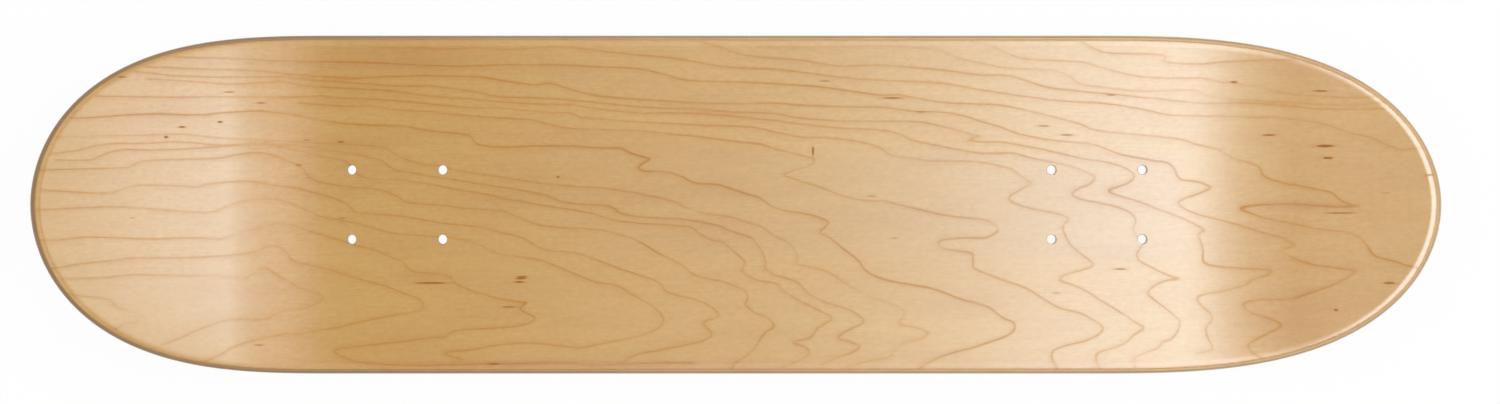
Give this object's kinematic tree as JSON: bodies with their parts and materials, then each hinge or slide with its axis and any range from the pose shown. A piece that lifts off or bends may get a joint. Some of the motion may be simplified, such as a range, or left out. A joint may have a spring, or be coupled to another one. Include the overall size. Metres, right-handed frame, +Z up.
{
  "type": "skateboard deck",
  "caption": "Bare popsicle-shaped maple skateboard deck with upturned nose and tail, concave rails, rounded edges and drilled truck bolt holes.",
  "frame": {"origin": "on the underside of the deck's flat belly, midway between the two trucks' inner bolt rows, on the deck's centre line", "axes": "+X towards the nose, the longer kick; +Y towards the left rail; +Z up, out of the face that is stood on"},
  "size_m": [0.8272, 0.2006, 0.0613],
  "materials": {
    "face_maple": "satin clear lacquer over rotary-cut maple, grain along the deck",
    "core_maple": "sanded and lacquered maple edge, grain along the deck",
    "crossband_maple": "sanded and lacquered maple edge, grain across the deck",
    "glue": "cured wood glue, seen only as a thin line round the edge"
  },
  "bodies": {
    "root": {"bottom_face_veneer": "face_maple", "bottom_core_veneer": "core_maple", "lower_crossband_veneer": "crossband_maple", "middle_core_veneer": "core_maple", "upper_crossband_veneer": "crossband_maple", "top_core_veneer": "core_maple", "top_face_veneer": "face_maple", "glue_film_1": "glue", "glue_film_2": "glue", "glue_film_3": "glue", "glue_film_4": "glue", "glue_film_5": "glue", "glue_film_6": "glue"}
  },
  "joints": []
}
